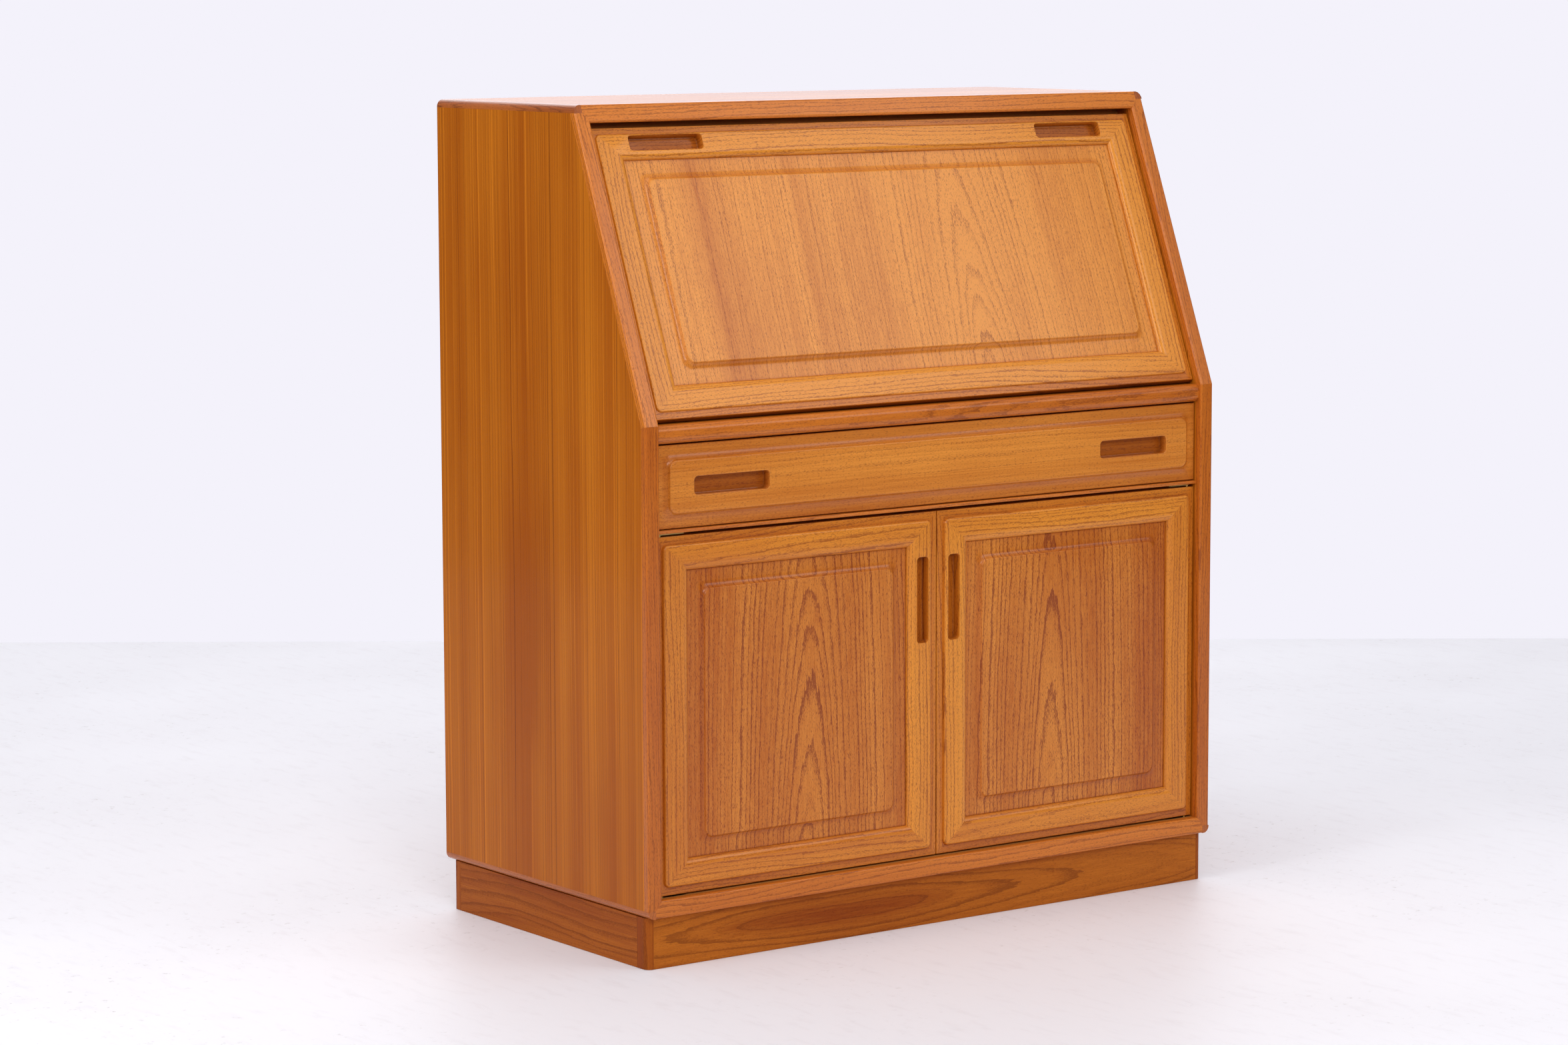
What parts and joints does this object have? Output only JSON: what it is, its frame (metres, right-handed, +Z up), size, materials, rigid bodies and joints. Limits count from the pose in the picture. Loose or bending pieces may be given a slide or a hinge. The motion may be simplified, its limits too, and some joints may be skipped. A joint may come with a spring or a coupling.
{
  "type": "secretary desk",
  "caption": "Teak secretary desk with a slanted fall flap over a wide drawer and a two-door cupboard, raised framed fronts with recessed finger slots, on a low plinth.",
  "frame": {"origin": "on the floor under the middle of the desk", "axes": "+Z up, -Y is the front where the user sits, X across the width"},
  "size_m": [0.918, 0.47, 1.06],
  "materials": {
    "teak_veneer": "satin oiled veneer, straight ribbon grain",
    "teak_lipping": "satin oiled solid wood",
    "teak_strip": "satin oiled solid wood, darker",
    "teak_plinth": "satin oiled veneer, worn near the floor",
    "teak_frame": "satin oiled solid wood, mitred",
    "teak_panel": "satin oiled veneer, cathedral grain",
    "inner_wood": "satin lacquered veneer",
    "drawer_wood": "pale lacquered hardwood",
    "brass": "satin",
    "catch_plastic": "matt moulded"
  },
  "bodies": {
    "carcass": {"back_panel": "teak_veneer", "bottom_panel": "inner_wood", "corner_strips_bottom": "teak_strip", "corner_strips_top": "teak_strip", "cupboard_shelf": "teak_veneer", "deck_panel": "inner_wood", "deck_rail": "teak_lipping", "divider_bead": "teak_lipping", "divider_panel": "inner_wood", "drawer_runners": "drawer_wood", "flap_pivot_pins": "brass", "flap_stop": "inner_wood", "hinge_plates": "brass", "lipping_bottom": "teak_lipping", "lipping_lower_left": "teak_lipping", "lipping_lower_right": "teak_lipping", "lipping_top": "teak_lipping", "lipping_upper_left": "teak_lipping", "lipping_upper_right": "teak_lipping", "magnetic_catches": "catch_plastic", "pigeonhole_partition_left": "inner_wood", "pigeonhole_partition_right": "inner_wood", "pigeonhole_shelf": "inner_wood", "plinth_back": "teak_plinth", "plinth_front": "teak_plinth", "plinth_left": "teak_plinth", "plinth_posts": "teak_plinth", "plinth_right": "teak_plinth", "shelf_pins": "brass", "side_left": "teak_veneer", "side_right": "teak_veneer", "stay_side_plates": "brass", "top_panel": "teak_veneer", "writing_bed": "inner_wood"},
    "drawer": {"drawer_front": "teak_panel", "drawer_sides": "drawer_wood", "drawer_back": "drawer_wood", "drawer_bottom": "drawer_wood"},
    "flap": {"flap_stile_left": "teak_frame", "flap_stile_right": "teak_frame", "flap_rail_top": "teak_frame", "flap_rail_bottom": "teak_frame", "flap_panel": "teak_panel", "stay_flap_brackets": "brass"},
    "door_left": {"door_left_hinge_stile": "teak_frame", "door_left_meeting_stile": "teak_frame", "door_left_rail_top": "teak_frame", "door_left_rail_bottom": "teak_frame", "door_left_panel": "teak_panel", "hinge_leaves_left": "brass"},
    "door_right": {"door_right_hinge_stile": "teak_frame", "door_right_meeting_stile": "teak_frame", "door_right_rail_top": "teak_frame", "door_right_rail_bottom": "teak_frame", "door_right_panel": "teak_panel", "hinge_leaves_right": "brass"},
    "inner_drawer": {"inner_drawer_front": "inner_wood", "inner_drawer_tray": "drawer_wood"},
    "stay_rear": {"stay_rear_arms": "brass"},
    "stay_front": {"stay_front_arms": "brass"}
  },
  "joints": [
    {"name": "flap_fall", "type": "hinge", "parent": "carcass", "child": "flap", "pos_m": [0, -0.20894, 0.68567], "axis": [1, 0, 0], "range_deg": [0, 111.65]},
    {"name": "drawer_slide", "type": "slide", "parent": "carcass", "child": "drawer", "axis": [0, -1, 0], "range_m": [0, 0.33]},
    {"name": "door_left_swing", "type": "hinge", "parent": "carcass", "child": "door_left", "pos_m": [-0.4285, -0.2185, 0], "axis": [0, 0, -1], "range_deg": [0, 90]},
    {"name": "door_right_swing", "type": "hinge", "parent": "carcass", "child": "door_right", "pos_m": [0.4285, -0.2185, 0], "axis": [0, 0, 1], "range_deg": [0, 90]},
    {"name": "inner_drawer_slide", "type": "slide", "parent": "carcass", "child": "inner_drawer", "axis": [0, -1, 0], "range_m": [0, 0.15]},
    {"name": "stay_rear_pivot", "type": "hinge", "parent": "carcass", "child": "stay_rear", "pos_m": [0, -0.0781, 0.76002], "axis": [1, 0, 0], "range_deg": [0, 123.36]},
    {"name": "stay_front_pivot", "type": "hinge", "parent": "flap", "child": "stay_front", "pos_m": [0, -0.11889, 0.86511], "axis": [1, 0, 0], "range_deg": [-130.72, 0]}
  ],
  "couplings": [
    {"joint": "stay_rear_pivot", "follows": "flap_fall", "ratio": 1.1004},
    {"joint": "stay_front_pivot", "follows": "flap_fall", "ratio": -1.1664}
  ]
}
